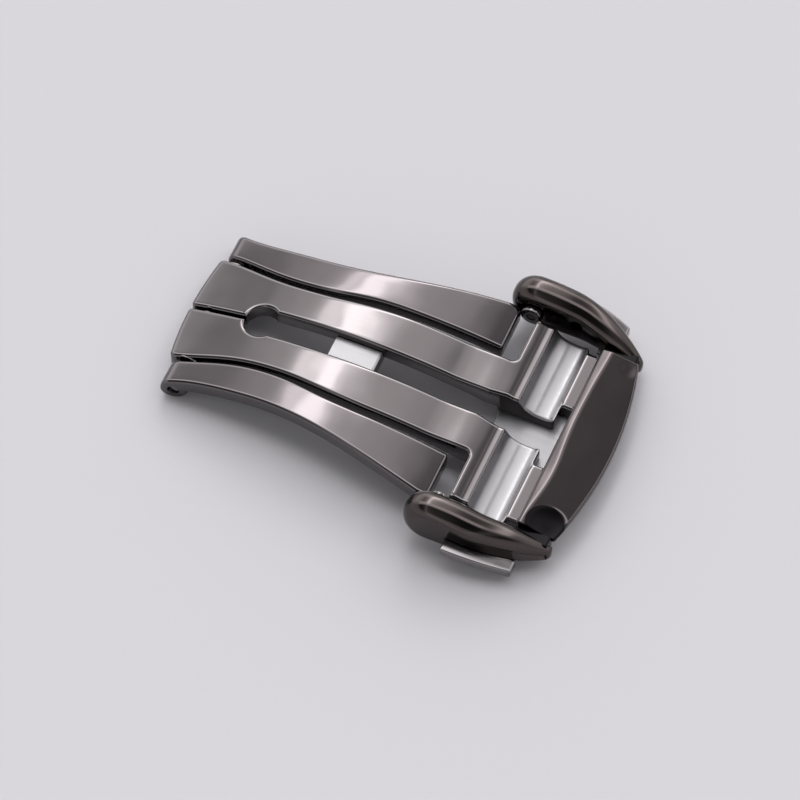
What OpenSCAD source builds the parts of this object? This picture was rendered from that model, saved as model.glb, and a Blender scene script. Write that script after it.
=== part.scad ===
// Push-button fold-over clasp for a watch strap, closed and lying on its wrist side.
// +X runs from the folding hinge to the cover, +Y across the strap, +Z away from the wrist.

/* [Strap] */
// Width of the strap that fits between the arms of the cover
strap_w = 20; // [18:0.5:24]
// Free room between the strap and each arm
strap_play = 0.12; // [0.08:0.02:0.4]
// Diameter of the holes for the strap's spring bar
spring_bar_d = 1.1; // [0.8:0.05:1.5]
// Height of the spring bar holes above the cover's hinge axis
spring_bar_rise = 0.25; // [0.1:0.05:0.3]
// Depth of each spring bar hole in its arm
spring_bar_depth = 1.1; // [0.6:0.05:1.3]

/* [Blades] */
// Length of the outer bars from the hinge end to their cut ends
bar_length = 25; // [22:0.1:30]
// Radius of the wrist curve on top of the blades
wrist_r = 49; // [44:0.5:60]
// Distance of the highest point of the curve from the hinge end
crest_x = 15; // [13.5:0.1:16]
// Height of the highest point of the blades above the table
crest_z = 4.4; // [4.2:0.05:4.8]
// Thickness of the inner and outer blades
blade_t = 1.45; // [1.2:0.05:1.6]
// Width over the outer bars at the hinge
hinge_w = 16.1; // [15.6:0.1:17]
// Width over the outer bars at their waist
waist_w = 14.9; // [14.4:0.1:15.4]
// Distance of the waist from the hinge end
waist_x = 7.75; // [7:0.05:8.5]
// Width of the slits beside the inner blades near the hinge
slit_hinge = 0.42; // [0.3:0.02:0.5]
// Width of the slits beside the inner blades near the cover
slit_cover = 0.65; // [0.5:0.05:0.8]
// Width of those slits where the blades reach the head
slit_end = 0.85; // [0.65:0.05:1]
// Width between the outer bars at the hinge
inner_hinge_w = 11.2; // [10.8:0.1:11.6]
// Width between the outer bars at their waist
inner_waist_w = 9.2; // [8.8:0.1:9.6]
// Width between the outer bars at the cover
inner_cover_w = 11.2; // [10.8:0.1:11.6]
// Width of the middle slot between the inner blades
slot_w = 2.3; // [1.8:0.1:2.8]
// Diameter of the round end of the middle slot
keyhole_d = 3; // [2.7:0.1:3.4]
// Distance of the round end of the middle slot from the hinge end
keyhole_x = 5.75; // [5:0.05:6.5]
// Distance from the head at which the inner blades begin to rise above the wrist curve
rise_length = 3.6; // [3:0.1:4.5]
// How far they rise above the wrist curve in front of the head
rise = 0.28; // [0.1:0.02:0.3]
// Width of the thin slit from the round end to the hinge
split_w = 0.3; // [0.2:0.05:0.4]
// How far the inner blades bow out past the hinge end
end_bow = 0.82; // [0.6:0.02:1]
// How much of that bow is left at their outer corners
end_bow_side = 0.25; // [0.1:0.02:0.4]

/* [Main hinge] */
// Outer radius of the rolled knuckles
knuckle_r = 1.15; // [1.05:0.01:1.25]
// Diameter of the main hinge pin
hinge_pin_d = 0.9; // [0.7:0.05:1.1]
// Length of the main hinge pin
hinge_pin_length = 15.3; // [14.8:0.1:15.5]

/* [Head of the inner blades] */
// Gap between the ends of the outer bars and the head
head_gap = 1.6; // [1.4:0.05:2]
// Length of the flat band in front of the ridge
flange_length = 1.55; // [1.2:0.05:2]
// Length of the trough from the ridge to the lip
trough_length = 3.3; // [2.8:0.05:3.8]
// Length of the lip from the trough to its end
lip_length = 1.3; // [1.15:0.05:1.4]
// How far each side of the head stays inside the strap's width
head_inset = 1.25; // [1:0.05:1.75]
// Width of the middle slot through the head
head_slot_w = 2.8; // [2.4:0.1:3.2]
// Width of the wider end of that slot, beside the visor
notch_w = 6; // [5.4:0.1:6.6]
// Height of the ridge above the table
ridge_z = 2.75; // [2.6:0.05:2.9]
// Height of the trough's floor above the table
trough_z = 1.7; // [1.5:0.05:1.9]
// Height of the lip above the table
lip_z = 2.2; // [2.05:0.02:2.25]
// Radius of the corners where the blades widen into the head
neck_r = 0.5; // [0.3:0.05:0.8]

/* [Plates under the blades] */
// Thickness of the base plate under the head
base_t = 0.95; // [0.8:0.01:0.98]
// How far each side of the base plate stays inside the head's width
base_inset = 0.35; // [0.1:0.05:0.9]
// Length of the base plate
base_length = 9; // [8.6:0.1:9.2]
// Radius of the base plate's corners
base_r = 1.2; // [0.5:0.1:2]
// Distance of the bridge plate from the hinge end
bridge_x = 12.1; // [10:0.1:13]
// Length of the bridge plate
bridge_length = 4.1; // [3:0.1:6]
// Width of the bridge plate
bridge_w = 6.4; // [5:0.1:7]
// Thickness of the bridge plate
bridge_t = 0.8; // [0.5:0.05:1]

/* [Cover] */
// Radius of the round nose at the hinged end of each arm
nose_r = 2.3; // [2.2:0.05:2.4]
// Height of the cover's hinge axis above the table
pivot_z = 3.15; // [3.05:0.01:3.2]
// Distance of the cover's hinge axis past the ends of the outer bars
pivot_reach = 0.95; // [0.85:0.01:1.05]
// Thickness of each arm at its nose
arm_t = 2.6; // [2.5:0.05:2.8]
// Radius of the falling curve on top of the arms
arm_top_r = 15.8; // [15.2:0.1:17]
// Radius of the rounded edges of the arms
arm_edge_r = 0.9; // [0.4:0.05:1]
// Length of the arms from the hinge axis to their tips
arm_length = 10; // [9.8:0.05:10.2]
// Distance from the hinge axis at which the arms begin to draw in
draw_from = 4.5; // [4.2:0.1:5]
// How far the inner face of each arm draws in at its tip
tip_in = 0.8; // [0.6:0.05:0.9]
// Thickness of each arm at its tip
tip_t = 0.95; // [0.8:0.05:1.1]
// Length of the visor over its middle
visor_length = 4.6; // [4.4:0.05:5]
// How far the visor reaches past each side of the head
visor_over = 0.35; // [0.3:0.05:0.5]
// Thickness of the visor
visor_t = 0.75; // [0.65:0.05:0.85]
// Height of the visor's front edge above the table
visor_z = 3.1; // [3.05:0.01:3.2]
// Rise of the visor from its front edge to its crown
visor_rise = 0.2; // [0.1:0.02:0.3]
// Fall of the visor from its front edge to its rear edge
visor_fall = 0.62; // [0.5:0.02:0.7]
// Radius of the bowed rear edge, seen from above
visor_bow_r = 33; // [28:1:45]
// How far the lip reaches under the visor
visor_lap = 0.2; // [0.05:0.05:0.3]
// Radius of the scoops in the ends of the visor
scoop_r = 3.6; // [3:0.1:4]
// Depth of those scoops
scoop_depth = 0.4; // [0.2:0.05:0.45]
// Distance of each scoop's middle behind the visor's front edge
scoop_x = 2.75; // [2.4:0.05:3]
// Distance of each scoop's middle inside the visor's side
scoop_inset = 0.88; // [0.8:0.02:1.2]
// Diameter of the cover's hinge pins
pivot_pin_d = 0.8; // [0.6:0.05:1]
// Width of the knuckle on each outer bar
pivot_knuckle_w = 0.5; // [0.4:0.05:0.8]
// Radius of the knuckle on each outer bar
pivot_knuckle_r = 0.95; // [0.85:0.05:1.2]

/* [Push buttons] */
// Length of each button's face along the arm
button_length = 5.9; // [5.2:0.1:6]
// Distance of the button from the cover's hinge axis
button_x = 1.75; // [1.6:0.05:1.8]
// Thickness of each button's plate
button_h = 0.85; // [0.8:0.05:1]
// Height of the button's upper face above the table, at the cover's hinge axis
button_z = 2.78; // [2.7:0.02:2.85]
// Radius of the falling curve on top of the buttons
button_top_r = 26; // [24:0.5:30]
// Radius of the bowed outer face, seen from above
button_bow_r = 20; // [18:0.5:24]
// How far each button stands out of its arm
button_out = 1.05; // [0.8:0.05:1.1]
// Depth of the button's plate from its face to its back
button_t = 2; // [1.8:0.05:2.1]
// Travel of each button
button_travel = 0.6; // [0.4:0.05:0.7]
// Thickness of the sliding tongue on each button
tongue_t = 0.3; // [0.25:0.01:0.32]
// Width of the sliding tongue
tongue_w = 2; // [1.9:0.05:2.2]
// Width of the neck that joins the tongue to the button
neck_w = 1.6; // [1.2:0.05:1.8]
// Distance of the tongue's inner end from its stud
tongue_end = 1.25; // [1:0.05:1.5]

/* [Latch] */
// Distance of each catch stud from the base plate's side
stud_edge = 3.8; // [3.6:0.05:4]
// Diameter of the stud's stem
stud_d = 0.8; // [0.6:0.05:0.9]
// Diameter of the stud's head
stud_head_d = 1.3; // [1.2:0.05:1.4]
// Thickness of the stud's head
stud_head_t = 0.28; // [0.2:0.01:0.3]
// Thickness of the plate that carries the tongues
carrier_t = 0.2; // [0.15:0.01:0.22]
// Diameter of the rivets that hold the carrier plate
rivet_d = 0.6; // [0.4:0.05:0.8]
// Distance of each rivet from the side of the carrier plate
rivet_edge = 2.8; // [2.4:0.1:3.4]
// Height of the rivets
rivet_h = 0.7; // [0.6:0.05:0.8]
// Outer diameter of the button springs
spring_d = 0.6; // [0.5:0.02:0.62]
// Wire thickness of the button springs
spring_wire = 0.12; // [0.08:0.01:0.15]

/* [Clearances] */
// Radial clearance of a pin that turns in a knuckle
turn_gap = 0.04; // [0.02:0.01:0.08]
// Gap between flat faces that slide on each other
slide_gap = 0.05; // [0.03:0.01:0.08]
// Gap around a button in its arm
button_gap = 0.1; // [0.06:0.01:0.15]
// Gap beside a knuckle
side_gap = 0.1; // [0.06:0.01:0.2]

/* [Hidden] */
steel = [0.2, 0.19, 0.2];
inner_steel = [0.3, 0.29, 0.3];
pin_steel = [0.45, 0.44, 0.45];
fine = 48;
smooth = 360;
eps = 0.01;
joint_lap = 0.06;
tongue_lap = 0.1;
weld_lap = 0.2;
tail_lap = 0.4;
tail_inset = 0.03;
tail_thin = 0.3;
pin_end_gap = 0.1;
big = 100;

// Places along the clasp
hinge_x = knuckle_r;
hinge_z = knuckle_r;
head_x = bar_length + head_gap;
rise_x = head_x - rise_length;
ridge_x = head_x + flange_length;
trough_end_x = ridge_x + trough_length;
lip_end_x = trough_end_x + lip_length;
visor_x = lip_end_x - visor_lap;
visor_end_x = visor_x + visor_length;
pivot_x = bar_length + pivot_reach;
arm_end_x = pivot_x + arm_length;
draw_x = pivot_x + draw_from;
flare_x = bar_length - 1;
knuckle_root_x = bar_length - 1.2;

// Places across the clasp
blade_edge_y = inner_cover_w / 2 - slit_end;
head_w = strap_w - 2 * head_inset;
base_w = head_w - 2 * base_inset;
visor_w = head_w + 2 * visor_over;
arm_y = strap_w / 2 + strap_play;
arm_out_y = arm_y + arm_t;
knuckle_out_y = arm_y - side_gap;
knuckle_in_y = knuckle_out_y - pivot_knuckle_w;
flare_y = knuckle_out_y;
button_y = arm_out_y + button_out;
button_back_y = button_y - button_t;
pin_end_y = arm_out_y - 0.5;
block_y = head_w / 2 + 2 * side_gap;

// Heights
arm_z = pivot_z - nose_r;
arm_top_z = pivot_z + nose_r;
carrier_z = base_t + 1.4 * slide_gap;
tongue_z = carrier_z + carrier_t + slide_gap;
stud_head_z = tongue_z + tongue_t + slide_gap;
visor_rear_z = visor_z - visor_fall;
visor_under_z = visor_z - visor_t;
spring_bar_z = pivot_z + spring_bar_rise;

// The latch lies on one line along the clasp
tongue_x = lip_end_x + 0.2;
stud_x = tongue_x + tongue_w / 2;
keyhole_slot_w = stud_d + 2 * slide_gap;
keyhole_hole_d = stud_head_d + 4 * slide_gap;
button_end_x = pivot_x + button_x + button_length;
tongue_neck_x = button_end_x - neck_w - 0.05;
tongue_neck_y = head_w / 2 + button_travel + 0.15;
tongue_root_y = arm_y + 0.15;
stud_y = base_w / 2 - stud_edge;
tongue_end_y = stud_y - tongue_end;
rivet_x = tongue_x + tongue_w + rivet_d / 2 + 0.5;
rivet_y = base_w / 2 - rivet_edge;
boss_r = rivet_d / 2 + 0.3;
spring_z = tongue_z + spring_d / 2;
stop_w = 1.2;
stop_y = 0.5;
carrier_setback = 0.4;

function curve_top(x) = crest_z - wrist_r + sqrt(wrist_r * wrist_r - pow(x - crest_x, 2));
function mix(a, b, t) = a + (b - a) * t;
function step_up(t) = let (c = min(max(t, 0), 1)) c * c * (3 - 2 * c);
function bow(p, q, r, s, t) =
    pow(1 - t, 3) * p + 3 * t * pow(1 - t, 2) * q + 3 * t * t * (1 - t) * r + pow(t, 3) * s;
function curve(p, q, r, s, n = 12) = [for (i = [0:n]) bow(p, q, r, s, i / n)];
function drop(list, n) = [for (i = [n:len(list) - 1]) list[i]];

// Edge of the outer bars that faces the inner blades
function slit_edge() = let (rest = head_x - waist_x) concat(
    curve([0, inner_hinge_w / 2], [0.3 * waist_x, inner_hinge_w / 2 - 0.15],
        [0.55 * waist_x, inner_waist_w / 2], [waist_x, inner_waist_w / 2]),
    drop(curve([waist_x, inner_waist_w / 2], [waist_x + 0.2 * rest, inner_waist_w / 2],
        [waist_x + 0.23 * rest, inner_cover_w / 2 - 0.3],
        [waist_x + 0.5 * rest, inner_cover_w / 2 - 0.2]), 1));
function slit_at(x) = mix(slit_hinge, slit_cover, step_up((x - waist_x) / (crest_x - waist_x)))
    + (slit_end - slit_cover) * step_up((x - rise_x) / rise_length);

// Top of the inner blades: it leaves the wrist curve and rises towards the head
function blade_top(x) = curve_top(x) + rise * step_up((x - rise_x) / (0.72 * rise_length));

// Outer edge of the outer bars
function bar_edge() = let (rest = flare_x - waist_x) concat(
    curve([0, hinge_w / 2], [0.25 * waist_x, waist_w / 2 + 0.05], [0.5 * waist_x, waist_w / 2],
        [waist_x, waist_w / 2]),
    drop(curve([waist_x, waist_w / 2], [waist_x + 0.35 * rest, waist_w / 2 + 0.05],
        [waist_x + 0.57 * rest, waist_w / 2 + 1.35], [flare_x, flare_y]), 1));

// Extrudes a side view, drawn as x and height, between two places across the clasp
module across(y_from, y_to) {
    translate([0, max(y_from, y_to), 0])
        rotate([90, 0, 0])
            linear_extrude(abs(y_to - y_from)) children();
}

// Keeps a piece on the far side, or mirrors it to the near side
module on_side(side) {
    if (side > 0) children();
    else mirror([0, 1, 0]) children();
}

module disc(x, z, r, n = fine) {
    translate([x, z]) circle(r = r, $fn = n);
}

// Side view of a curved blade: top is how far its upper face lies under the wrist curve
module band(x_from, x_to, top, thickness) {
    intersection() {
        difference() {
            disc(crest_x, crest_z - wrist_r, wrist_r - top, smooth);
            disc(crest_x, crest_z - wrist_r, wrist_r - top - thickness, smooth);
        }
        translate([x_from, 0]) square([x_to - x_from, 2 * crest_z]);
    }
}

// Outline of one inner blade, seen from above
module blade_outline() {
    end_r = (pow(inner_hinge_w / 2, 2) + pow(end_bow - end_bow_side, 2)) / (2 * (end_bow - end_bow_side));
    edge = [for (p = slit_edge()) [p[0], p[1] - slit_at(p[0])]];
    intersection() {
        difference() {
            union() {
                polygon(concat([[-end_bow - 1, 0], [-end_bow - 1, edge[0][1]]], edge,
                    [[head_x, blade_edge_y], [head_x + joint_lap, blade_edge_y], [head_x + joint_lap, 0]]));
                neck_corner();
            }
            translate([-big, -big]) square([big + keyhole_x, big + split_w / 2]);
            translate([keyhole_x, 0]) circle(d = keyhole_d, $fn = fine);
            translate([keyhole_x, -big]) square([big, big + slot_w / 2]);
            translate([head_x, -big]) square([big, big + head_slot_w / 2]);
        }
        translate([end_r - end_bow, 0]) circle(r = end_r, $fn = smooth);
    }
}

// Rounded corner between a blade's outer edge and the head
module neck_corner() {
    difference() {
        translate([head_x - neck_r, blade_edge_y - 2 * joint_lap])
            square([neck_r + joint_lap, neck_r]);
        translate([head_x - neck_r + joint_lap / 2, blade_edge_y + neck_r - joint_lap / 2])
            circle(r = neck_r, $fn = fine);
    }
}

// Outline of one half of the head, with its wider slot beside the visor
module head_outline() {
    difference() {
        translate([head_x, head_slot_w / 2]) square([lip_end_x - head_x, (head_w - head_slot_w) / 2]);
        translate([trough_end_x, 0]) square([big, notch_w / 2]);
    }
}

// Side view of the part of a blade that rises above the wrist curve
module rise_side() {
    x_from = rise_x + eps;
    x_to = head_x + joint_lap;
    polygon(concat([for (i = [0:10]) let (x = mix(x_from, x_to, i / 10)) [x, blade_top(x)]],
        [[x_to, curve_top(head_x) - blade_t / 2], [x_from, curve_top(rise_x) - blade_t / 2]]));
}

// Side view of the head: flat band, ridge, trough and lip
module head_side() {
    polygon(concat([[head_x, base_t], [head_x, blade_top(head_x) + eps], [ridge_x, ridge_z]],
        [for (i = [1:10]) let (t = i / 10) pow(1 - t, 2) * [ridge_x, ridge_z]
            + 2 * t * (1 - t) * [mix(ridge_x, trough_end_x, 0.42), 2 * trough_z - (ridge_z + lip_z) / 2]
            + t * t * [trough_end_x, lip_z]],
        [[lip_end_x, lip_z], [lip_end_x, base_t]]));
}

module inner_blade(side) {
    color(inner_steel) on_side(side) {
        difference() {
            union() {
                intersection() {
                    across(0, inner_hinge_w) {
                        disc(hinge_x, hinge_z, knuckle_r);
                        band(-end_bow, head_x + joint_lap, 0, blade_t);
                        rise_side();
                    }
                    linear_extrude(2 * crest_z) blade_outline();
                }
                intersection() {
                    across(0, head_w) head_side();
                    linear_extrude(2 * crest_z) head_outline();
                }
            }
            across(-eps, inner_hinge_w) disc(hinge_x, hinge_z, hinge_pin_d / 2);
        }
    }
}

module middle_bridge() {
    color(inner_steel) across(-bridge_w / 2, bridge_w / 2)
        band(bridge_x, bridge_x + bridge_length, blade_t, bridge_t);
}

module head_base_plate() {
    color(inner_steel) difference() {
        linear_extrude(base_t) union() {
            translate([head_x, -base_w / 2]) square([base_length - base_r, base_w]);
            for (side = [-1, 1])
                translate([head_x + base_length - base_r, side * (base_w / 2 - base_r)])
                    circle(r = base_r, $fn = fine);
            translate([head_x, base_r - base_w / 2]) square([base_length, base_w - 2 * base_r]);
        }
        for (side = [-1, 1])
            translate([stud_x, side * stud_y, -eps]) cylinder(d = stud_d, h = base_t + 2 * eps, $fn = fine);
    }
}

module main_hinge_pin() {
    color(pin_steel) across(-hinge_pin_length / 2, hinge_pin_length / 2)
        disc(hinge_x, hinge_z, hinge_pin_d / 2);
}

module catch_stud(side) {
    color(pin_steel) on_side(side) translate([stud_x, stud_y, 0]) {
        cylinder(d = stud_d, h = stud_head_z + stud_head_t, $fn = fine);
        translate([0, 0, stud_head_z]) cylinder(d = stud_head_d, h = stud_head_t, $fn = fine);
    }
}

// Outline of one outer bar, seen from above
module bar_outline() {
    polygon(concat(slit_edge(), [[bar_length, inner_cover_w / 2], [bar_length, knuckle_in_y]],
        [[flare_x, flare_y]], [for (i = [len(bar_edge()) - 1:-1:0]) bar_edge()[i]]));
}

module outer_bar(side) {
    color(steel) on_side(side) difference() {
        union() {
            intersection() {
                across(0, flare_y) {
                    disc(hinge_x, hinge_z, knuckle_r);
                    band(hinge_x, bar_length, 0, blade_t);
                }
                linear_extrude(2 * crest_z) bar_outline();
            }
            across(knuckle_in_y, knuckle_out_y) {
                disc(pivot_x, pivot_z, pivot_knuckle_r);
                band(knuckle_root_x, pivot_x, pin_end_gap, blade_t - pin_end_gap);
            }
        }
        across(0, hinge_w) disc(hinge_x, hinge_z, hinge_pin_d / 2 + turn_gap);
        across(knuckle_in_y - eps, knuckle_out_y + eps) disc(pivot_x, pivot_z, pivot_pin_d / 2);
    }
}

module cover_pivot_pin(side) {
    color(pin_steel) on_side(side)
        across(knuckle_in_y + slide_gap, pin_end_y) disc(pivot_x, pivot_z, pivot_pin_d / 2);
}

// Half section of a turned slab with rounded rims, lying between two radii
module rim_section(r_in, r_out, width) {
    translate([r_in, 0]) square([r_out - arm_edge_r - r_in, width]);
    translate([r_in, arm_edge_r]) square([r_out - r_in, width - 2 * arm_edge_r]);
    for (y = [arm_edge_r, width - arm_edge_r])
        translate([r_out - arm_edge_r, y]) circle(r = arm_edge_r, $fn = fine);
}

// Slab with rounded rims, turned about an axis that lies across the clasp
module turned_slab(z, r_in, r_out, width, n) {
    translate([pivot_x, arm_y, z]) rotate([-90, 0, 0])
        rotate_extrude($fn = n) rim_section(r_in, r_out, width);
}

// Straight bar along the clasp whose lower edges are rounded like the nose
module arm_bar(x_from, z_from, width) {
    translate([x_from, arm_y, z_from]) rotate([90, 0, 90])
        linear_extrude(arm_length + 1) rotate(-90) mirror([1, 0]) rim_section_up(width);
}

// The same half section without its upper rims
module rim_section_up(width) {
    translate([arm_edge_r, 0]) square([2 * nose_r, width]);
    translate([0, arm_edge_r]) square([2 * nose_r, width - 2 * arm_edge_r]);
    for (y = [arm_edge_r, width - arm_edge_r])
        translate([arm_edge_r, y]) circle(r = arm_edge_r, $fn = fine);
}

// Part of an arm behind its nose: inset keeps it that far inside the arm's full height
module arm_slab(x_from, inset, width) {
    intersection() {
        turned_slab(arm_top_z - arm_top_r, arm_top_r - 2.2 * nose_r, arm_top_r - inset, width, smooth);
        arm_bar(x_from, arm_z + inset, width);
    }
}

// Body of one arm: round nose, falling top and a drawn-in tail, with rounded edges
module arm_body() {
    turned_slab(pivot_z, 0, nose_r, arm_t, fine * 2);
    arm_slab(pivot_x, 0, arm_t);
    translate([draw_x, arm_y, 0]) rotate(-atan(tip_in / (arm_end_x - draw_x)))
        translate([-draw_x, -arm_y, 0]) arm_slab(draw_x - tail_lap, tail_inset, arm_t - tail_thin);
}

// Outline of one arm, seen from above: its outer face bows in from the nose to the tip
module arm_outline() {
    tip_y = arm_y - tip_in;
    polygon(concat([[pivot_x - nose_r - 1, arm_y - eps], [pivot_x - nose_r - 1, arm_out_y + eps]],
        curve([pivot_x + 3, arm_out_y + eps], [pivot_x + 5.6, arm_out_y + eps],
            [arm_end_x - 1.7, tip_y + tip_t + 1.4], [arm_end_x, tip_y + tip_t]),
        [[arm_end_x, tip_y], [draw_x, arm_y - eps]]));
}

// Side view of the visor: its top rises from the front edge and falls to the rear
module visor_side() {
    polygon(concat([[visor_x, visor_under_z], [visor_x, visor_z]],
        curve([visor_x, visor_z], [visor_x + 0.8, visor_z + visor_rise * 1.6],
            [visor_x + 1.6, visor_z + visor_rise * 1.2], [visor_end_x, visor_rear_z], 10),
        [[visor_end_x, visor_rear_z - visor_t], [visor_x + visor_t, visor_under_z]]));
}

// Outline of the visor, seen from above, with its bowed rear edge
module visor_outline(half_w) {
    intersection() {
        translate([visor_x, -half_w]) square([visor_length + 1, 2 * half_w]);
        bowed_rear();
    }
}

// Everything in front of the cover's bowed rear edge
module bowed_rear() {
    translate([visor_end_x - visor_bow_r, 0]) circle(r = visor_bow_r, $fn = smooth);
}

// Block that joins one end of the visor to its arm
module end_block() {
    block_z = base_t + 2 * slide_gap;
    intersection() {
        translate([visor_x, block_y, block_z])
            cube([visor_length, arm_y + weld_lap - block_y, visor_under_z + weld_lap - block_z]);
        linear_extrude(2 * crest_z) visor_outline(arm_out_y);
    }
}

module cover_frame() {
    color(steel) difference() {
        union() {
            for (side = [-1, 1]) on_side(side) {
                intersection() {
                    arm_body();
                    linear_extrude(2 * crest_z) intersection() {
                        arm_outline();
                        bowed_rear();
                    }
                }
                end_block();
                translate([rivet_x, rivet_y, carrier_z + carrier_t])
                    cylinder(r = boss_r, h = visor_rear_z - visor_t / 2 - carrier_z - carrier_t, $fn = fine);
            }
            intersection() {
                across(-visor_w / 2, visor_w / 2) visor_side();
                linear_extrude(2 * crest_z) visor_outline(visor_w / 2);
            }
            translate([stud_x - stop_w / 2, -stop_y, carrier_z + carrier_t])
                cube([stop_w, 2 * stop_y, visor_z - visor_t / 2 - carrier_z - carrier_t]);
        }
        for (side = [-1, 1]) on_side(side) {
            button_pocket();
            across(arm_y - eps, pin_end_y + pin_end_gap) disc(pivot_x, pivot_z, pivot_pin_d / 2 + turn_gap);
            across(arm_y - spring_bar_depth, arm_y + spring_bar_depth)
                disc(mix(ridge_x, trough_end_x, 0.5), spring_bar_z, spring_bar_d / 2);
            translate([visor_x + scoop_x, visor_w / 2 - scoop_inset, visor_z + scoop_r - scoop_depth])
                sphere(r = scoop_r, $fn = fine);
            translate([rivet_x, rivet_y, carrier_z])
                cylinder(d = rivet_d, h = rivet_h, $fn = fine);
        }
    }
}

// Room for the button in its arm, and for its tongue behind it
module button_pocket() {
    intersection() {
        translate([pivot_x + button_x - button_gap, button_back_y - button_travel - button_gap, 0])
            cube([button_length + 2 * button_gap, big, 2 * crest_z]);
        across(arm_y, big) disc(pivot_x, button_z - button_top_r, button_top_r + button_gap, smooth);
    }
    translate([0, 0, arm_z - 1]) linear_extrude(1 + tongue_z + tongue_t + slide_gap - arm_z) {
        translate([tongue_x - button_gap, 0])
            square([tongue_w + 2 * button_gap, tongue_root_y + button_gap]);
        translate([tongue_neck_x - button_gap, 0])
            square([neck_w + 2 * button_gap, button_back_y + 2 * button_gap]);
    }
}

module latch_carrier_plate() {
    color(inner_steel) difference() {
        translate([0, 0, carrier_z]) linear_extrude(carrier_t) intersection() {
            translate([tongue_x, -base_w / 2]) square([visor_length, base_w]);
            translate([-carrier_setback, 0]) visor_outline(base_w / 2);
        }
        for (side = [-1, 1]) {
            translate([stud_x, side * stud_y, carrier_z - eps])
                cylinder(d = keyhole_hole_d, h = carrier_t + 2 * eps, $fn = fine);
            translate([rivet_x, side * rivet_y, carrier_z - eps])
                cylinder(d = rivet_d, h = carrier_t + 2 * eps, $fn = fine);
        }
    }
}

module carrier_rivet(side) {
    color(pin_steel) on_side(side) translate([rivet_x, rivet_y, carrier_z])
        cylinder(d = rivet_d, h = rivet_h, $fn = fine);
}

module push_button(side) {
    color(steel) on_side(side) difference() {
        union() {
            intersection() {
                translate([pivot_x + button_x, button_back_y, 0]) cube([button_length, button_t, crest_z]);
                across(arm_y, button_y) difference() {
                    disc(pivot_x, button_z - button_top_r, button_top_r, smooth);
                    disc(pivot_x, button_z - button_top_r, button_top_r - button_h, smooth);
                }
                translate([pivot_x + button_x, button_y - button_bow_r, 0])
                    cylinder(r = button_bow_r, h = crest_z, $fn = smooth);
            }
            translate([0, 0, tongue_z]) linear_extrude(tongue_t) {
                translate([tongue_x, tongue_end_y]) square([tongue_w, tongue_root_y - tongue_end_y]);
                translate([tongue_neck_x, tongue_neck_y])
                    square([neck_w, button_back_y + tongue_lap - tongue_neck_y]);
            }
        }
        translate([stud_x, stud_y, 0]) cylinder(d = keyhole_slot_w, h = crest_z, $fn = fine);
        translate([stud_x, stud_y + button_travel, 0]) cylinder(d = keyhole_hole_d, h = crest_z, $fn = fine);
        translate([stud_x - keyhole_slot_w / 2, stud_y, 0]) cube([keyhole_slot_w, button_travel, crest_z]);
    }
}

module button_spring(side) {
    color(pin_steel) on_side(side) across(stop_y, tongue_end_y) difference() {
        disc(stud_x, spring_z, spring_d / 2);
        disc(stud_x, spring_z, spring_d / 2 - spring_wire);
    }
}

// The origin is under the middle of the clasp, on the table
module placed() {
    translate([(end_bow - visor_end_x) / 2, 0, 0]) children();
}

placed() inner_blade(1);  // inner_blade_far
placed() inner_blade(-1);  // inner_blade_near
placed() middle_bridge();
placed() head_base_plate();
placed() main_hinge_pin();
placed() catch_stud(1);  // catch_stud_far
placed() catch_stud(-1);  // catch_stud_near
placed() outer_bar(1);  // outer_bar_far
placed() outer_bar(-1);  // outer_bar_near
placed() cover_pivot_pin(1);  // cover_pivot_pin_far
placed() cover_pivot_pin(-1);  // cover_pivot_pin_near
placed() cover_frame();
placed() latch_carrier_plate();
placed() carrier_rivet(1);  // carrier_rivet_far
placed() carrier_rivet(-1);  // carrier_rivet_near
placed() push_button(1);  // push_button_far
placed() push_button(-1);  // push_button_near
placed() button_spring(1);  // button_spring_far
placed() button_spring(-1);  // button_spring_near
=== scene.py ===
"""Looks of the push-button fold-over clasp: polished dark steel on a pale floor.

Lengths are in millimetres, X from the hinge end, Y from the middle and Z from the floor, as in
part.scad. They are turned into metres of the CAD frame when a mesh is made.
"""

import math

import bmesh
import bpy
import numpy as np
from mathutils import Matrix, Vector
from mathutils.geometry import delaunay_2d_cdt


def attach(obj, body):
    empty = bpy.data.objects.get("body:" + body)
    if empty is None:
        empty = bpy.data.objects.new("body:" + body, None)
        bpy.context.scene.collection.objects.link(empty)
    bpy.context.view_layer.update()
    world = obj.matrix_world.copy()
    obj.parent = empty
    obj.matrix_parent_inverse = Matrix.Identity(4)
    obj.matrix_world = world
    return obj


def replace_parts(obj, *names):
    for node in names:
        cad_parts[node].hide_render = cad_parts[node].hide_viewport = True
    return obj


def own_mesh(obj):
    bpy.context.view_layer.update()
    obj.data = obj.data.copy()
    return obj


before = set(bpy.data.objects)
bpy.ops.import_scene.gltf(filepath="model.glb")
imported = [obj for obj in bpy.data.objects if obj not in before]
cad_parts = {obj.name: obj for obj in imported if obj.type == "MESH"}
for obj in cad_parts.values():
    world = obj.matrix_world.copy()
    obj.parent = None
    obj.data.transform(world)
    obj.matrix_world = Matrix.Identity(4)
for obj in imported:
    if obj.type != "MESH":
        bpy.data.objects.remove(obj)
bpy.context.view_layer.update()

MM = 0.001
SHIFT_X = 18.165
SIDES = ((False, "far"), (True, "near"))

# Curve of the blades
WRIST_R, CREST_X, CREST_Z, BLADE_T = 49.0, 15.0, 4.4, 1.45
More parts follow.
